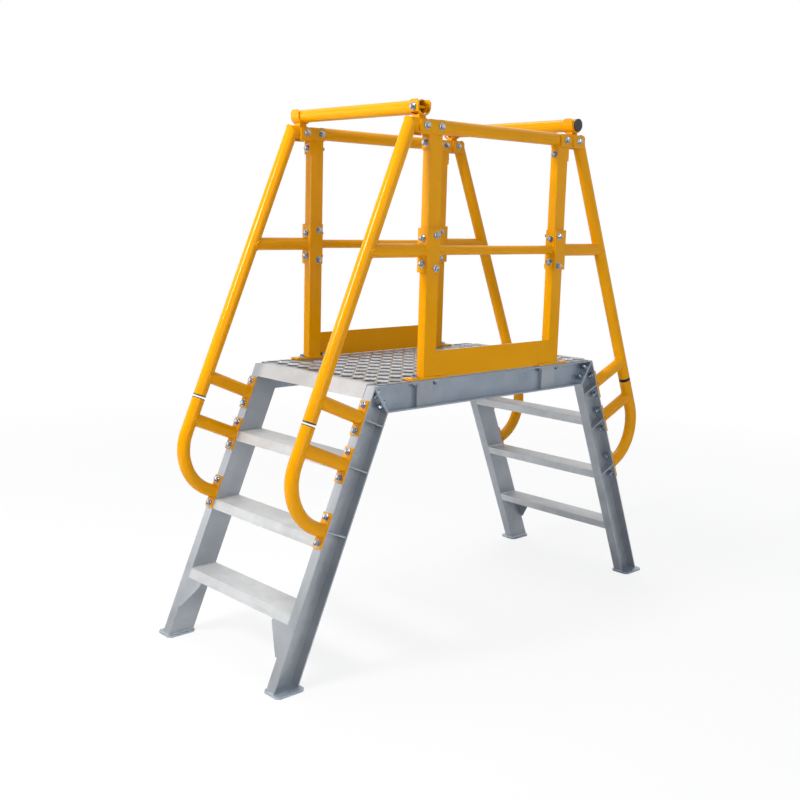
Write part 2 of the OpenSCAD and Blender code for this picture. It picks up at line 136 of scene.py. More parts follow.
class Shader:
    # a node tree, and the one method that adds any other node to it
    def __init__(self, tree):
        self.tree = tree

    def node(self, kind, settings, sockets, out=0):
        made = self.tree.nodes.new(kind)
        for key, value in settings.items():
            if key == "stops":
                for element, (place, colour) in zip(made.color_ramp.elements, value):
                    element.position = place
                    element.color = (*colour, 1)
            else:
                setattr(made, key, value)
        for key, value in sockets.items():
            self.link(made.inputs[key], value)
        return None if out is None else Sock(self, made.outputs[out])

    def link(self, target, value):
        if isinstance(value, Sock):
            self.tree.links.new(value.socket, target)
        elif target.type == "RGBA":
            target.default_value = (*value, 1)
        else:
            target.default_value = value

    def coords(self, turn=(0, 0, 0), scale=(1, 1, 1)):
        place = self.node("ShaderNodeTexCoord", {}, {}, "Object")
        return self.node("ShaderNodeMapping", {}, {"Vector": place, "Rotation": turn, "Scale": scale})

    def noise(self, vector, scale, detail, rough):
        return self.node("ShaderNodeTexNoise", {}, {"Vector": vector, "Scale": scale,
                         "Detail": detail, "Roughness": rough}, "Fac")

    def ramp(self, factor, stops):
        return self.node("ShaderNodeValToRGB", {"stops": stops}, {"Fac": factor}, "Color")

    def range(self, value, low, high, toLow=0.0, toHigh=1.0):
        return self.node("ShaderNodeMapRange", {}, {"Value": value, "From Min": low, "From Max": high,
                         "To Min": toLow, "To Max": toHigh}, "Result")

    def blend(self, factor, a, b):
        return self.node("ShaderNodeMix", {"data_type": "RGBA"}, {0: factor, 6: a, 7: b}, 2)

    def mixShader(self, factor, a, b):
        return self.node("ShaderNodeMixShader", {}, {0: factor, 1: a, 2: b}, "Shader")

    def bump(self, height, strength, distance, edge=0.0):
        # edge is the radius that sharp corners are rounded to, in the light only
        sockets = {"Height": height, "Strength": strength, "Distance": distance}
        if edge:
            sockets["Normal"] = self.node("ShaderNodeBevel", {"samples": 6}, {"Radius": edge}, "Normal")
        return self.node("ShaderNodeBump", {}, sockets, "Normal")


class Finish(Shader):
    # a material whose surface is the Principled shader
    def __init__(self, name):
        self.material = bpy.data.materials.new(name)
        self.material.use_nodes = True
        super().__init__(self.material.node_tree)

    def set(self, **sockets):
        surface = self.tree.nodes["Principled BSDF"]
        for name, value in sockets.items():
            self.link(surface.inputs[name.replace("_", " ")], value)
        return self.material


mill = {"light": (0.45, 0.47, 0.50), "dark": (0.32, 0.34, 0.37), "metal": 0.58, "rough": 0.36}
channelMill = mill | {"light": (0.43, 0.475, 0.535), "dark": (0.30, 0.345, 0.40)}
# painted shade: a dark, dull copy of the mill finish for the grating's lips, so that the openings read as
# shaded
shadedMill = {"light": (0.11, 0.11, 0.12), "dark": (0.05, 0.05, 0.055), "metal": 0.30, "rough": 0.60}


def aluminiumFinish(name, look, turn=(0, 0, 0)):
    # mill finish: fine draw lines along the piece, cloudy oxide and a few scuffs
    f = Finish(name)
    lines = f.noise(f.coords(turn, (2, 260, 260)), 1.0, 4, 0.7)
    place = f.coords()
    clouds = f.noise(place, 9.0, 5, 0.6)
    patches = f.noise(place, 2.3, 2, 0.5)
    scuffs = f.range(f.noise(f.coords((0.4, 0.9, 0.3), (26, 420, 60)), 1.0, 2, 0.5), 0.70, 0.78)
    tone = f.ramp(clouds * 0.55 + patches * 0.45, [(0.33, look["dark"]), (0.62, look["light"])])
    tone = f.blend(f.range(lines, 0.35, 0.7, 0.0, 0.22), tone, look["dark"])
    tone = f.blend(scuffs * 0.30, tone, (0.62, 0.64, 0.67))
    rough = (clouds - 0.5) * 0.22 + (lines - 0.5) * 0.18 - scuffs * 0.08 + look["rough"]
    return f.set(Base_Color=tone, Metallic=look["metal"], Roughness=rough,
                 Normal=f.bump(lines * 0.7 + clouds * 0.3, 0.10, 0.4 * mm, 0.9 * mm))


def treadFinish(name, low, high):
    # satin extrusion with fine grooves along the tread, from a trodden low tone to a clean high one
    f = Finish(name)
    place = f.coords()
    fine = f.noise(f.coords(scale=(420, 3, 420)), 1.0, 3, 0.6)
    wear = f.noise(place, 6.5, 5, 0.62)
    dust = f.range(f.noise(place, 14.0, 4, 0.6), 0.52, 0.72, 0.0, 0.35)
    tone = f.ramp(wear, [(0.32, low), (0.66, high)])
    tone = f.blend(dust, tone, (0.42, 0.42, 0.41))
    tone = f.blend(f.range(fine, 0.4, 0.7, 0.0, 0.20), tone, (0.38, 0.39, 0.41))
    return f.set(Base_Color=tone, Metallic=0.30, Roughness=(wear - 0.5) * 0.25 + 0.42,
                 Normal=f.bump(fine, 0.12, 0.4 * mm, 0.8 * mm))


def gratingFinish(name, low, high):
    # pressed sheet, from a dulled low tone to a polished high one, with dirt in patches
    f = Finish(name)
    place = f.coords()
    grain = f.noise(place, 60.0, 3, 0.6)
    dirt = f.range(f.noise(place, 5.0, 5, 0.6), 0.48, 0.75, 0.0, 0.4)
    tone = f.ramp(grain, [(0.3, low), (0.7, high)])
    tone = f.blend(dirt, tone, (0.27, 0.25, 0.22))
    return f.set(Base_Color=tone, Metallic=0.85, Roughness=grain * 0.16 + 0.26,
                 Normal=f.bump(grain, 0.10, 0.3 * mm, 0.7 * mm))


def yellowFinish(name):
    # glossy powder coat: faint orange peel, slight tone drift, rubbed and dusty spots
    f = Finish(name)
    place = f.coords()
    peel = f.noise(place, 900.0, 2, 0.5)
    drift = f.noise(place, 3.2, 4, 0.55)
    marks = f.range(f.noise(f.coords((0.3, 0.5, 0.8), (30, 160, 30)), 1.0, 3, 0.55), 0.70, 0.80)
    dust = f.range(f.noise(place, 18.0, 5, 0.65), 0.55, 0.80, 0.0, 0.14)
    tone = f.ramp(drift, [(0.35, (0.75, 0.308, 0.0)), (0.65, (0.81, 0.340, 0.0))])
    tone = f.blend(dust, tone, (0.78, 0.42, 0.02))
    tone = f.blend(marks * 0.35, tone, (0.55, 0.25, 0.01))
    return f.set(Base_Color=tone, Metallic=0.0, Roughness=dust * 0.7 + marks * 0.15 + 0.14,
                 Specular_IOR_Level=0.14, Normal=f.bump(peel, 0.05, 0.15 * mm, 1.1 * mm))


def zincFinish(name):
    f = Finish(name)
    place = f.coords()
    grain = f.noise(place, 320.0, 3, 0.6)
    bloom = f.noise(place, 70.0, 3, 0.6)
    tone = f.ramp(bloom, [(0.3, (0.26, 0.30, 0.36)), (0.7, (0.50, 0.56, 0.64))])
    return f.set(Base_Color=tone, Metallic=1.0, Roughness=grain * 0.16 + 0.12,
                 Normal=f.bump(grain, 0.08, 0.1 * mm, 0.3 * mm))


def weldFinish(name):
    f = Finish(name)
    soot = f.noise(f.coords(), 140.0, 4, 0.65)
    tone = f.ramp(soot, [(0.3, (0.34, 0.35, 0.38)), (0.65, (0.68, 0.69, 0.72))])
    return f.set(Base_Color=tone, Metallic=0.85, Roughness=soot * 0.25 + 0.30,
                 Normal=f.bump(soot, 0.15, 0.3 * mm))


def blackFinish(name):
    f = Finish(name)
    place = f.coords()
    grain = f.noise(place, 700.0, 2, 0.5)
    dust = f.range(f.noise(place, 26.0, 4, 0.6), 0.5, 0.75, 0.0, 0.3)
    tone = f.blend(dust, (0.018, 0.019, 0.022), (0.060, 0.062, 0.066))
    return f.set(Base_Color=tone, Metallic=0.0, Roughness=dust * 0.5 + 0.46,
                 Normal=f.bump(grain, 0.12, 0.1 * mm, 0.6 * mm))


slope = platform["slope"]
finishes = {
    "aluX": aluminiumFinish("mill aluminium channel", channelMill),
    "aluLeft": aluminiumFinish("mill aluminium left stile", mill, (0, slope, 0)),
    "aluRight": aluminiumFinish("mill aluminium right stile", mill, (0, -slope, 0)),
    "aluY": aluminiumFinish("mill aluminium cross", mill, (0, 0, math.pi / 2)),
    "tread": treadFinish("ribbed tread aluminium", (0.48, 0.49, 0.505), (0.62, 0.63, 0.64)),
    "nosing": treadFinish("ribbed nosing aluminium", (0.38, 0.375, 0.38), (0.50, 0.49, 0.495)),
    "grating": gratingFinish("pressed grating aluminium", (0.24, 0.24, 0.25), (0.36, 0.365, 0.38)),
    # the strands: a lighter copy of the grating's aluminium, painted light on the raised strands
    "strand": gratingFinish("strand aluminium with painted light", (0.40, 0.41, 0.44), (0.64, 0.66, 0.70)),
    # the ridges: brown-tinted aluminium, painted shade and a painted reflection of the yellow in the gaps
    # between strand rows
    "ridge": gratingFinish("ridge aluminium with painted shade and yellow reflection", (0.26, 0.22, 0.16), (0.40, 0.35, 0.27)),
    "pit": aluminiumFinish("shaded lip aluminium", shadedMill),
    "yellow": yellowFinish("safety yellow coat"),
    "zinc": zincFinish("bright zinc"),
    "weld": weldFinish("aluminium weld"),
    "black": blackFinish("black plastic"),
}


def finishFor(name):
    if name.startswith("stile_left"):
        return "aluLeft"
    if name.startswith("stile_right"):
        return "aluRight"
    if name.startswith(("side_channel", "foot_plates")):
        return "aluX"
    if name.startswith(("tread_gussets", "deck_bearers", "post_packers", "stile_ribs")):
        return "aluY"
    if name.startswith("nosing"):
        return "nosing"
    if name.startswith("tread"):
        return "tread"
    if name == "deck_grating":
        return "grating"
    if name.startswith(("rail_end_caps", "bar_end_cap")):
        return "black"
    return "yellow"


for name, obj in nodes.items():
    obj.data.materials.clear()
    obj.data.materials.append(finishes[finishFor(name)])
print("finishes assigned")

piecesMade = []
smoothBelow = math.radians(38)


def asMesh(bm, name):
    mesh = bpy.data.meshes.new(name)
    bm.to_mesh(mesh)
    bm.free()
    return mesh


def keep(bm, name, finish, smooth=True):
    mesh = asMesh(bm, name)
    mesh.materials.append(finishes[finish])
    if smooth:
        for poly in mesh.polygons:
            poly.use_smooth = True
        mesh.set_sharp_from_angle(angle=smoothBelow)
    obj = bpy.data.objects.new(name, mesh)
    bpy.context.scene.collection.objects.link(obj)
    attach(obj, "frame")
    piecesMade.append(name)


def aim(point, direction):
    # places a shape drawn along +Z so that it points along a direction
    turn = Vector((0, 0, 1)).rotation_difference(direction.normalized()).to_matrix().to_4x4()
    return Matrix.Translation(point) @ turn


def addMesh(bm, mesh, matrix):
    start = len(bm.verts)
    bm.from_mesh(mesh)
    bm.verts.ensure_lookup_table()
    bmesh.ops.transform(bm, matrix=matrix, verts=bm.verts[start:])


bolt = {
    "sides": 28,
    "washerR": 13.5 * mm, "washerT": 2.4 * mm, "washerEdge": 0.5 * mm, "washerRim": 0.8,
    "flangeR": 11.5 * mm, "flangeRim": 0.9 * mm, "flangeT": 1.9 * mm,
    "hexR": 10 * mm, "hexLift": 1.2 * mm, "hexH": 8 * mm, "hexBevel": 1.3 * mm,
    "nutR": 10.6 * mm, "nutH": 9 * mm, "nutBevel": 1 * mm,
    "shankR": 6 * mm, "threadOut": 7 * mm, "threadPitch": 1.75 * mm, "threadDepth": 0.7 * mm,
    "threadSides": 16, "threadStart": 0.5 * mm, "tipNeck": 1.2 * mm, "tipH": 1 * mm,
}


def lathe(bm, profile, sides):
    # spins a profile of (radius, height) round Z and closes it
    verts = [bm.verts.new((radius, 0, z)) for radius, z in profile]
    edges = [bm.edges.new(pair) for pair in zip(verts, verts[1:])]
    bmesh.ops.spin(bm, geom=verts + edges, cent=(0, 0, 0), axis=(0, 0, 1), dvec=(0, 0, 0),
                   angle=2 * math.pi, steps=sides, use_merge=True, use_duplicate=False)
    bmesh.ops.remove_doubles(bm, verts=bm.verts, dist=0.01 * mm)
    bmesh.ops.holes_fill(bm, edges=[e for e in bm.edges if e.is_boundary], sides=0)
    bmesh.ops.recalc_face_normals(bm, faces=bm.faces)


def hexBlock(bm, radius, low, high, bevel, segments):
    # a six-sided block with its top rim bevelled
    made = bmesh.ops.create_cone(bm, cap_ends=True, segments=6, radius1=radius, radius2=radius,
                                 depth=high - low)
    bmesh.ops.translate(bm, verts=made["verts"], vec=(0, 0, (low + high) / 2))
    rim = {e for v in made["verts"] for e in v.link_edges
           if all(abs(w.co.z - high) < 0.1 * mm for w in e.verts)}
    bmesh.ops.bevel(bm, geom=list(rim), offset=bevel, segments=segments, profile=0.5,
                    affect="EDGES", material=-1)


def washerProfile():
    return [(0.0, 0.0), (bolt["washerR"], 0.0), (bolt["washerR"], bolt["washerT"] * bolt["washerRim"]),
            (bolt["washerR"] - bolt["washerEdge"], bolt["washerT"])]


def boltHead():
    bm = bmesh.new()
    washerTop = bolt["washerT"]
    flangeTop = washerTop + bolt["flangeT"]
    flange = [(bolt["flangeR"], washerTop), (bolt["flangeR"], washerTop + bolt["flangeRim"]),
              (bolt["hexR"], flangeTop), (0.0, flangeTop)]
    lathe(bm, washerProfile() + flange, bolt["sides"])
    low = washerTop + bolt["hexLift"]
    hexBlock(bm, bolt["hexR"], low, low + bolt["hexH"], bolt["hexBevel"], 2)
    return asMesh(bm, "boltHeadShape")


def boltNut():
    bm = bmesh.new()
    lathe(bm, washerProfile() + [(0.0, bolt["washerT"])], bolt["sides"])
    top = bolt["washerT"] + bolt["nutH"]
    hexBlock(bm, bolt["nutR"], bolt["washerT"], top, bolt["nutBevel"], 1)

    # threaded end, standing out of the nut
    start = top - bolt["threadStart"]
    thread = [(0.0, start)]
    for i in range(round(bolt["threadOut"] / bolt["threadPitch"])):
        z = start + i * bolt["threadPitch"]
        thread += [(bolt["shankR"] - bolt["threadDepth"], z), (bolt["shankR"], z + bolt["threadPitch"] / 2)]
    tip = thread[-1][1] + bolt["tipH"]
    thread += [(bolt["shankR"] - bolt["tipNeck"], tip), (0.0, tip)]
    stud = bmesh.new()
    lathe(stud, thread, bolt["threadSides"])
    bm.from_mesh(asMesh(stud, "studShape"))
    return asMesh(bm, "boltNutShape")


headMesh, nutMesh = boltHead(), boltNut()
random.seed(4)


def spunAim(point, direction):
    # bolts and nuts stop at any turn of their hexagon
    return aim(point, direction) @ Matrix.Rotation(random.uniform(0, math.pi / 3), 4, "Z")


def boltSet(name, places):
    # places holds a head point, a head direction and a nut point for each bolt
    bm = bmesh.new()
    for headPoint, headDir, nutPoint in places:
        addMesh(bm, headMesh, spunAim(headPoint, headDir))
        addMesh(bm, nutMesh, spunAim(nutPoint, -headDir))
    keep(bm, name, "zinc")


def throughBolt(side, row, middle, direction, headReach, nutReach):
    # a bolt through a clamp: head on one side of its middle, nut on the other
    head, nut = middle + direction * headReach, middle - direction * nutReach
    return (toCorner(head, side, row), toCorner(direction, side, row), toCorner(nut, side, row))


topBolts = {"leftRailX": -412 * mm, "leftPostX": -336 * mm, "rightRailX": -432 * mm,
            "rightPostX": -362 * mm, "drop": 2 * mm, "faceDrop": 57 * mm, "earHalf": 6.4 * mm}
midBolts = {"faceRises": (42 * mm, -48 * mm), "sideRises": (54 * mm, -62 * mm), "sideShift": 7 * mm}
stileBolts = {"offsets": (46.5 * mm, -46.5 * mm)}
baseBolts = {"places": (-403 * mm, -298 * mm), "shift": 4 * mm}
mitreBolts = {"parts": (0.32, 0.72), "shift": -3 * mm}
pivotBolts = {"x": -420 * mm, "rise": 59 * mm, "saddleWall": 6.5 * mm}

rowY = platform["rowY"]
postHalf = platform["postHalfW"] + plateT
faceReach = platform["postOut"] - platform["postX"] + plateT
innerReach = platform["postX"] - platform["postIn"]


def topBoltPlaces(side, row):
    z = platform["topZ"] - topBolts["drop"]
    earReach = platform["railR"] + topBolts["earHalf"]
    railDir = -outward if row == "far" else outward
    face = Vector((-platform["postX"], rowY, platform["topZ"] - topBolts["faceDrop"]))
    return [
        throughBolt(side, row, Vector((topBolts[side + "RailX"], rowY, z)), railDir, earReach, earReach),
        throughBolt(side, row, Vector((topBolts[side + "PostX"], rowY, z)), outward, postHalf, postHalf),
        throughBolt(side, row, face, stairward, faceReach, innerReach),
    ]


def midBoltPlaces(side, row):
    places = []
    for rise in midBolts["faceRises"]:
        middle = Vector((-platform["postX"], rowY, platform["midZ"] + rise))
        places.append(throughBolt(side, row, middle, stairward, faceReach, innerReach))
    for rise in midBolts["sideRises"]:
        middle = Vector((midBolts["sideShift"] - platform["postX"], rowY, platform["midZ"] + rise))
        swapped = side == "right" and rise < 0
        places.append(throughBolt(side, row, middle, -outward if swapped else outward, postHalf, postHalf))
    return places


def stileBoltPlaces(side, row):
    places = []
    for height in bracketHeights.values():
        for offset in stileBolts["offsets"]:
            up = upOf(height) + offset
            places.append((toCorner(upIn(up, -plateT), side, row), toCorner(-inDir, side, row),
                           toCorner(upIn(up, wallT), side, row)))
    return places


def baseBoltPlaces(side, row):
    places = []
    for x in baseBolts["places"]:
        head = Vector((x, rowY + baseBolts["shift"], platform["basePlateTop"]))
        nut = Vector((x, rowY + baseBolts["shift"], platform["deckZ"] - wallT))
        places.append((toCorner(head, side, row), Vector((0, 0, 1)), toCorner(nut, side, row)))
    return places


def mitreBoltPlaces(side, row):
    step = Vector((mitreDx, 0, -platform["channelD"]))
    square = Vector((platform["channelD"], 0, mitreDx)).normalized()
    start = Vector((platform["frontX"], rowY + mitreBolts["shift"], platform["deckZ"]))
    return [throughBolt(side, row, start + step * part, -square, wallT, wallT)
            for part in mitreBolts["parts"]]


for side, row in corners:
    boltSet(f"top_bolts_{side}_{row}", topBoltPlaces(side, row))
    boltSet(f"mid_bolts_{side}_{row}", midBoltPlaces(side, row))
    boltSet(f"stile_bolts_{side}_{row}", stileBoltPlaces(side, row))
    boltSet(f"base_bolts_{side}_{row}", baseBoltPlaces(side, row))
    boltSet(f"mitre_bolts_{side}_{row}", mitreBoltPlaces(side, row))

for side, row in (("left", "near"), ("right", "far")):
    middle = Vector((pivotBolts["x"], rowY, platform["topZ"] + pivotBolts["rise"]))
    reach = platform["railR"] + pivotBolts["saddleWall"]
    boltSet(f"pivot_bolt_{side}", [throughBolt(side, row, middle, stairward, reach, reach)])
print("bolts done")


def beadCurve(points, radius, closed=False, ripple=0.16):
    # a rippled bead along points: a curve whose width changes, made a mesh
    curve = bpy.data.curves.new("bead", "CURVE")
    curve.dimensions = "3D"
    curve.bevel_depth = radius
    curve.bevel_resolution = 1
    curve.use_fill_caps = True
    spline = curve.splines.new("POLY")
    spline.points.add(len(points) - 1)
    for i, (point, place) in enumerate(zip(spline.points, points)):
        point.co = (*place, 1)
        point.radius = 1 + ripple * (1 if i % 2 else -1)
    spline.use_cyclic_u = closed
    holder = bpy.data.objects.new("bead", curve)
    bpy.context.scene.collection.objects.link(holder)
    bpy.context.view_layer.update()
    mesh = bpy.data.meshes.new_from_object(holder.evaluated_get(bpy.context.evaluated_depsgraph_get()))
    bpy.data.objects.remove(holder)
    bpy.data.curves.remove(curve)
    return mesh


weld = {"rings": 52, "step": 3 * mm, "elbow": 1.5 * mm, "stub": 2.6 * mm, "midStub": 4 * mm,
        "midRipple": 0.08, "rail": 2.2 * mm, "plate": 2.2 * mm, "rib": 1.8 * mm, "tread": 2 * mm,
        "treadLip": 30 * mm, "ribHalfT": 2.5 * mm, "ribSetback": 3 * mm, "toeInset": 6 * mm,
        "faceInset": 0.5 * mm}


def ringBead(centre, axis, radius, bead, lift=None, ripple=0.16):
    # a bead round an axis in the side view's plane; lift gives its shift along the axis
    side = axis.cross(acrossDir).normalized()
    points = []
    for i in range(weld["rings"]):
        a = 2 * math.pi * i / weld["rings"]
        shift = lift(a, side) if lift else 0
        points.append(centre + side * radius * math.cos(a) + acrossDir * radius * math.sin(a) + axis * shift)
    return beadCurve(points, bead, True, ripple)


def teeLift(axis, mainAxis, radius):
    # where a stub's wall meets the wall of a main tube of the same radius
    normal = acrossDir.cross(mainAxis).normalized()
    if normal.dot(axis) < 0:
        normal = -normal

    def lift(a, side):
        inside = max(radius ** 2 - (radius * math.sin(a)) ** 2, 0)
        return (math.sqrt(inside) - radius * math.cos(a) * normal.dot(side)) / normal.dot(axis)
    return lift


def mitreLift(axis, otherAxis, radius):
    bisect = (axis + otherAxis).normalized()

    def lift(a, side):
        return -radius * math.cos(a) * bisect.dot(side) / bisect.dot(axis)
    return lift


def straightPoints(start, end):
    count = max(2, round((end - start).length / weld["step"]))
    return [start.lerp(end, i / count) for i in range(count + 1)]


def pathPoints(stops, closed=False):
    points = []
    for a, b in zip(stops, stops[1:] + stops[:1] if closed else stops[1:]):
        points += straightPoints(a, b)[:-1]
    return points if closed else points + [stops[-1]]


def upToAxis(z):
    # how far up the stile the handrail's axis crosses a height
    return (z - bracketHeights["low"] - platform["handrailOff"] * cosS) / sinS


def tubeWelds():
    railR, off = platform["railR"], -platform["handrailOff"]
    elbow = upIn(upToAxis(platform["topZ"]), off)
    beads = [ringBead(elbow, upDir, railR, weld["elbow"], mitreLift(upDir, alongX, railR))]
    # stubs on the inclined tube and on their bracket plates
    for height in (bracketHeights["high"], bracketHeights["mid"]):
        beads.append(ringBead(upIn(upOf(height), off), inDir, railR, weld["stub"],
                              teeLift(inDir, upDir, railR)))
    for height in bracketHeights.values():
        beads.append(ringBead(upIn(upOf(height), -plateT), inDir, railR, weld["stub"]))
    # level stub between the inclined tube and the post
    beads.append(ringBead(upIn(upToAxis(platform["midZ"]), off), alongX, railR, weld["midStub"],
                          teeLift(alongX, upDir, railR), weld["midRipple"]))
    face = Vector((-platform["postOut"] - plateT, rowY, platform["midZ"]))
    beads.append(ringBead(face, alongX, railR - weld["faceInset"], weld["midStub"], ripple=weld["midRipple"]))
    # rails on the posts
    for z, ring in ((platform["topZ"], railR), (platform["midZ"], platform["midR"])):
        centre = Vector((-platform["postIn"], rowY, z))
        beads.append(ringBead(centre, alongX, min(ring, platform["postHalfW"]), weld["rail"]))
    # post on its base plate, and the toe board on the post
    x0, x1 = -platform["postOut"], -platform["postIn"]
    y0, y1 = rowY - platform["postHalfW"], rowY + platform["postHalfW"]
    z = platform["basePlateTop"]
    stops = [Vector((x0, y0, z)), Vector((x0, y1, z)), Vector((x1, y1, z)), Vector((x1, y0, z))]
    beads.append(beadCurve(pathPoints(stops, True), weld["plate"], True))
    toeFoot = Vector((x1, y0 + weld["toeInset"], z))
    toeTop = Vector((x1, y0 + weld["toeInset"], toeHigh.z))
    beads.append(beadCurve(straightPoints(toeFoot, toeTop), weld["plate"]))
    return beads


def stileWelds():
    outerY, webY = -platform["halfW"], -platform["webY"]
    # foot plate round the stile
    z = basePlateT
    x0 = frontAt(z)
    stops = [Vector((x0, outerY, z)), Vector((x0, webY + wallT, z)),
             Vector((x0 + stileDx, webY + wallT, z)), Vector((x0 + stileDx, outerY, z))]
    beads = [beadCurve(pathPoints(stops), weld["plate"])]
    # stile ribs
    for height in bracketHeights.values():
        up = upOf(height) + weld["ribHalfT"]
        depth = platform["channelD"] - wallT
        ribY = outerY + weld["ribSetback"]
        stops = [upIn(up, wallT, ribY), upIn(up, wallT, webY), upIn(up, depth, webY), upIn(up, depth, ribY)]
        beads.append(beadCurve(pathPoints(stops), weld["rib"]))
    # tread ends on the web
    for i in (1, 2, 3):
        z = platform["deckZ"] * i / 4
        lipZ = z - weld["treadLip"]
        stops = [Vector((frontAt(lipZ), webY + wallT, lipZ)), Vector((frontAt(z), webY + wallT, z)),
                 Vector((frontAt(z) + stileDx, webY + wallT, z))]
        beads.append(beadCurve(pathPoints(stops), weld["tread"]))
    return beads


def joinBeads(name, beads, finish):
    for side, row in corners:
        bm = bmesh.new()
        flip = Matrix.Diagonal((cornerSigns[side], cornerSigns[row], 1, 1))
        for mesh in beads:
            addMesh(bm, mesh, flip)
        bmesh.ops.recalc_face_normals(bm, faces=bm.faces)
        keep(bm, f"{name}_{side}_{row}", finish)


joinBeads("tube_welds", tubeWelds(), "yellow")
joinBeads("stile_welds", stileWelds(), "weld")
print("welds done")

grating = {
    "pitchX": 61.5 * mm, "pitchY": 63 * mm, "edge": 12 * mm,
    "strand": 35 * mm, "across": 40 * mm, "arch": 3.2 * mm, "lift": 0.3 * mm, "thick": 1.5 * mm,
    "teeth": 7, "toothR": 2.4 * mm, "toothTip": 0.45, "toothH": 3.8 * mm,
    "toothSink": 0.4 * mm, "toothOut": 1.2 * mm,
    "ridgeR": 2.4 * mm, "ridgeEndX": 3 * mm, "ridgeEndY": 4 * mm,
    "openingR": 25.9 * mm, "lipDepth": 15 * mm, "lipWall": 1.5 * mm, "lipDrop": 0.2 * mm,
    "lipClear": 36 * mm,                     # from the webs, past the channel flanges
    "plateHalfX": 115 * mm, "plateFromY": 275 * mm,   # room for the base plates
}
columns = math.floor((2 * deckHigh.x - 2 * grating["edge"]) / grating["pitchX"] - 0.5)
rows = math.floor((2 * platform["halfW"] - 2 * grating["edge"]) / grating["pitchY"] - 0.5)


def gridPlaces(columns, rows):
    return [((i - (columns - 1) / 2) * grating["pitchX"], (j - (rows - 1) / 2) * grating["pitchY"])
            for i in range(columns) for j in range(rows)]


def strandShape():
    # an arched strip with a row of teeth along both of its edges
    bm = bmesh.new()
    made = bmesh.ops.create_grid(bm, x_segments=6, y_segments=1, size=0.5)
    for v in made["verts"]:
        arch = math.cos(v.co.x * math.pi) * grating["arch"]
        v.co = Vector((v.co.x * grating["strand"], v.co.y * grating["across"], arch + grating["lift"]))
    walls = bmesh.ops.extrude_face_region(bm, geom=bm.faces[:])
    low = [v for v in walls["geom"] if isinstance(v, bmesh.types.BMVert)]
    bmesh.ops.translate(bm, verts=low, vec=(0, 0, -grating["thick"]))
    bmesh.ops.recalc_face_normals(bm, faces=bm.faces)
    toothX = grating["strand"] / 2 + grating["toothOut"]
    toothZ = grating["toothH"] / 2 - grating["toothSink"]
    for sign in (-1, 1):
        for i in range(grating["teeth"]):
            tooth = bmesh.ops.create_cone(bm, cap_ends=True, segments=4, radius1=grating["toothR"],
                                          radius2=grating["toothR"] * grating["toothTip"],
                                          depth=grating["toothH"])
            y = (i + 0.5 - grating["teeth"] / 2) * grating["across"] / grating["teeth"]
            bmesh.ops.translate(bm, verts=tooth["verts"], vec=(sign * toothX, y, toothZ))
    bmesh.ops.rotate(bm, verts=bm.verts, matrix=Matrix.Rotation(math.pi / 4, 3, "Z"))
    return asMesh(bm, "strandShape")


def gratingStrands():
    strand = strandShape()
    bm = bmesh.new()
    for x, y in gridPlaces(columns, rows):
        underPost = abs(abs(x) - platform["postX"]) < grating["plateHalfX"] and abs(y) > grating["plateFromY"]
        if not underPost:
            addMesh(bm, strand, Matrix.Translation((x, y, deckHigh.z)))
    keep(bm, "grating_strands", "strand", smooth=False)


def gratingRidges():
    # low ridges between the rows of strands, trimmed to the sheet; their brown tone is painted shade and a
    # painted reflection of the yellow
    pitchX, pitchY = grating["pitchX"], grating["pitchY"]
    along = Vector((pitchX, pitchY, 0)).normalized()
    square = Vector((-along.y, along.x, 0))
    spacing = pitchX * pitchY / math.hypot(pitchX, pitchY)
    reach = deckHigh.x + platform["halfW"]
    count = math.ceil(reach / spacing)
    bm = bmesh.new()
    for k in range(-count, count):
        centre = square * (k + 0.5) * spacing + Vector((0, 0, deckHigh.z))
        bmesh.ops.create_cone(bm, cap_ends=True, segments=6, radius1=grating["ridgeR"],
                              radius2=grating["ridgeR"], depth=2 * reach, matrix=aim(centre, along))
    edgeX, edgeY = deckHigh.x - grating["ridgeEndX"], platform["halfW"] - grating["ridgeEndY"]
    for normal, edge in ((alongX, edgeX), (-alongX, edgeX), (acrossDir, edgeY), (-acrossDir, edgeY)):
        bmesh.ops.bisect_plane(bm, geom=bm.verts[:] + bm.edges[:] + bm.faces[:], plane_co=normal * edge,
                               plane_no=normal, clear_outer=True)
        bmesh.ops.holes_fill(bm, edges=[e for e in bm.edges if e.is_boundary], sides=8)
    bmesh.ops.recalc_face_normals(bm, faces=bm.faces)
    keep(bm, "grating_ridges", "ridge")


def gratingLips():
    # down-turned lips round the openings, clear of the channel flanges; their dark finish is painted shade
    # inside the openings
    lip = bmesh.new()
    bmesh.ops.create_cone(lip, cap_ends=False, segments=4, radius1=grating["openingR"],
                          radius2=grating["openingR"], depth=grating["lipDepth"])
    bmesh.ops.recalc_face_normals(lip, faces=lip.faces)
    bmesh.ops.solidify(lip, geom=lip.faces[:], thickness=-grating["lipWall"])
    bmesh.ops.translate(lip, verts=lip.verts, vec=(0, 0, -grating["lipDepth"] / 2 - grating["lipDrop"]))
    shape = asMesh(lip, "lipShape")
    bm = bmesh.new()
    for x, y in gridPlaces(columns + 1, rows + 1):
        if abs(y) < platform["webY"] - grating["lipClear"]:
            addMesh(bm, shape, Matrix.Translation((x, y, platform["deckZ"])))
    keep(bm, "grating_lips", "pit", smooth=False)


gratingStrands()
gratingRidges()
gratingLips()
print("grating done")

ribs = {
    "endGap": 1 * mm,
    "frontCount": 9, "frontStart": 6 * mm, "frontPitch": 5 * mm, "frontR": 1.3 * mm, "frontSink": 0.2 * mm,
    "topCount": 4, "topStart": 6 * mm, "topPitch": 6 * mm, "topR": 1.2 * mm, "topSink": 0.3 * mm,
    "treadDrops": (2 * mm, 7 * mm, 24 * mm, 30 * mm), "treadR": 1.1 * mm, "treadSink": 0.3 * mm,
}


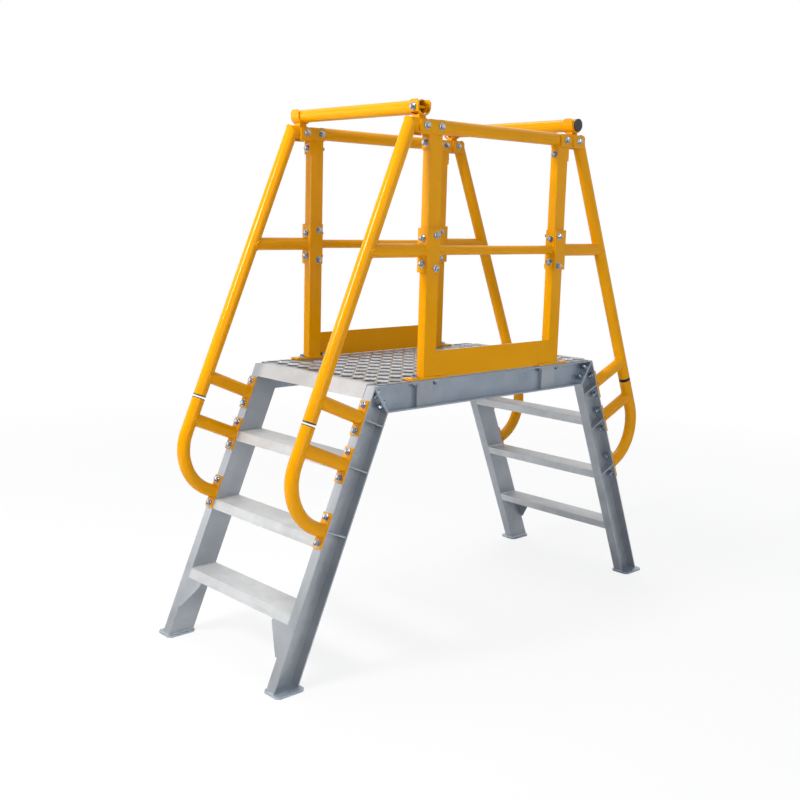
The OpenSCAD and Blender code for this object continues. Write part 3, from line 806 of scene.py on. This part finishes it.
def ribRun(bm, x, z, radius):
    length = 2 * (platform["webY"] - wallT - ribs["endGap"])
    bmesh.ops.create_cone(bm, cap_ends=True, segments=8, radius1=radius, radius2=radius,
                          depth=length, matrix=aim(Vector((x, 0, z)), acrossDir))


def nosingRibs(side):
    sign = cornerSigns[side]
    bm = bmesh.new()
    for i in range(ribs["frontCount"]):
        z = deckHigh.z - ribs["frontStart"] - i * ribs["frontPitch"]
        ribRun(bm, sign * (frontAt(z) + ribs["frontSink"]), z, ribs["frontR"])
    for i in range(ribs["topCount"]):
        x = platform["frontX"] + ribs["topStart"] + i * ribs["topPitch"]
        ribRun(bm, sign * x, deckHigh.z - ribs["topSink"], ribs["topR"])
    keep(bm, f"nosing_ribs_{side}", "nosing")


def treadRibs(side):
    sign = cornerSigns[side]
    bm = bmesh.new()
    for i in (1, 2, 3):
        for drop in ribs["treadDrops"]:
            z = platform["deckZ"] * i / 4 - drop
            ribRun(bm, sign * (frontAt(z) + ribs["treadSink"]), z, ribs["treadR"])
    keep(bm, f"tread_ribs_{side}", "tread")


for side in ("left", "right"):
    nosingRibs(side)
    treadRibs(side)
print("ribs done,", len(piecesMade), "pieces added")

floorLook = {"half": 14, "colour": (0.86, 0.86, 0.87), "near": 1.8, "far": 5.0, "whiteNear": 0.84}


def floorFinish(name):
    # a pale floor that fades to plain white away from the platform
    f = Finish(name)
    place = f.node("ShaderNodeTexCoord", {}, {}, "Object")
    away = f.node("ShaderNodeVectorMath", {"operation": "LENGTH"}, {0: place}, "Value")
    fade = f.range(away, floorLook["near"], floorLook["far"], floorLook["whiteNear"], 1.0)
    diffuse = f.node("ShaderNodeBsdfDiffuse", {}, {"Color": floorLook["colour"]}, "BSDF")
    white = f.node("ShaderNodeEmission", {}, {"Color": (1, 1, 1), "Strength": 1.0}, "Emission")
    seen = f.node("ShaderNodeLightPath", {}, {}, "Is Camera Ray")
    f.link(f.tree.nodes["Material Output"].inputs["Surface"], f.mixShader(seen * fade, diffuse, white))
    return f.material


floorBm = bmesh.new()
bmesh.ops.create_grid(floorBm, x_segments=1, y_segments=1, size=floorLook["half"])
floorMesh = asMesh(floorBm, "floor")
floorMesh.materials.append(floorFinish("pale floor"))
floor = bpy.data.objects.new("floor", floorMesh)
bpy.context.scene.collection.objects.link(floor)

world = bpy.data.worlds.new("studio")
bpy.context.scene.world = world
world.use_nodes = True
world.node_tree.nodes.clear()
studio = Shader(world.node_tree)


def glow(colour, strength):
    return studio.node("ShaderNodeBackground", {}, {"Color": colour, "Strength": strength}, "Background")


def rays(kind):
    return studio.node("ShaderNodeLightPath", {}, {}, kind)


def facing(direction):
    toward = studio.node("ShaderNodeTexCoord", {}, {}, "Generated")
    return studio.node("ShaderNodeVectorMath", {"operation": "DOT_PRODUCT"},
                       {0: toward, 1: direction}, "Value")


# the room is white to the camera, soft grey to the light, and darker in reflections from the left
fromSides = studio.range(facing((-0.9, 0.1, 0)), -0.1, 0.6, 1.0, 0.12)
fromAbove = studio.range(facing((0, 0, 1)), 0.45, 0.8)
mirrored = studio.mixShader(fromSides + fromAbove, glow((0.9, 0.95, 1.0), 0.16), glow((1, 1, 1), 1.0))
lit = studio.mixShader(rays("Is Glossy Ray"), glow((0.86, 0.93, 1.0), 0.42), mirrored)
seen = studio.mixShader(rays("Is Camera Ray") + rays("Is Transmission Ray"), lit, glow((1, 1, 1), 1.0))
studio.node("ShaderNodeOutputWorld", {}, {"Surface": seen}, None)

lampTarget = Vector((0, 0, 0.9))
lamps = {
    "key": {"place": (-3.4, 0.3, 3.4), "size": 1.2, "watts": 138, "colour": (1.0, 0.98, 0.94)},
    "sheen": {"place": (-3.8, 4.4, 2.4), "size": 3.0, "watts": 42, "colour": (1.0, 0.99, 0.97)},
    "top": {"place": (0.8, 1.6, 5.6), "size": 3.0, "watts": 90, "colour": (1.0, 0.99, 0.97)},
    "fill": {"place": (-1.5, -6.0, 2.4), "size": 4.0, "watts": 98, "colour": (0.92, 0.96, 1.0)},
}
for name, lamp in lamps.items():
    light = bpy.data.lights.new(name, "AREA")
    light.shape = "DISK"
    light.size = lamp["size"]
    light.energy = lamp["watts"]
    light.color = lamp["colour"]
    obj = bpy.data.objects.new(name, light)
    obj.location = lamp["place"]
    obj.rotation_euler = (lampTarget - obj.location).to_track_quat("-Z", "Y").to_euler()
    bpy.context.scene.collection.objects.link(obj)

view = {"place": (-3.0117, -2.9736, 1.5755), "yaw": 47.01, "down": 9.81, "roll": 1.42, "lens": 47.51,
        "sensor": 36, "shiftX": 0.0175, "shiftY": -0.0017}
camera = bpy.data.cameras.new("camera")
camera.lens = view["lens"]
camera.sensor_width = view["sensor"]
camera.shift_x = view["shiftX"]
camera.shift_y = view["shiftY"]
yaw, down, roll = (math.radians(view[key]) for key in ("yaw", "down", "roll"))
forward = Vector((math.cos(yaw) * math.cos(down), math.sin(yaw) * math.cos(down), -math.sin(down)))
level = Vector((math.sin(yaw), -math.cos(yaw), 0))
upward = level.cross(forward)
rolledRight = level * math.cos(roll) + upward * math.sin(roll)
rolledUp = upward * math.cos(roll) - level * math.sin(roll)
turn = Matrix((rolledRight, rolledUp, -forward)).transposed().to_4x4()
cameraObj = bpy.data.objects.new("camera", camera)
cameraObj.matrix_world = Matrix.Translation(view["place"]) @ turn
bpy.context.scene.collection.objects.link(cameraObj)
bpy.context.scene.camera = cameraObj
bpy.context.scene.view_settings.view_transform = "Standard"
print("stage done")
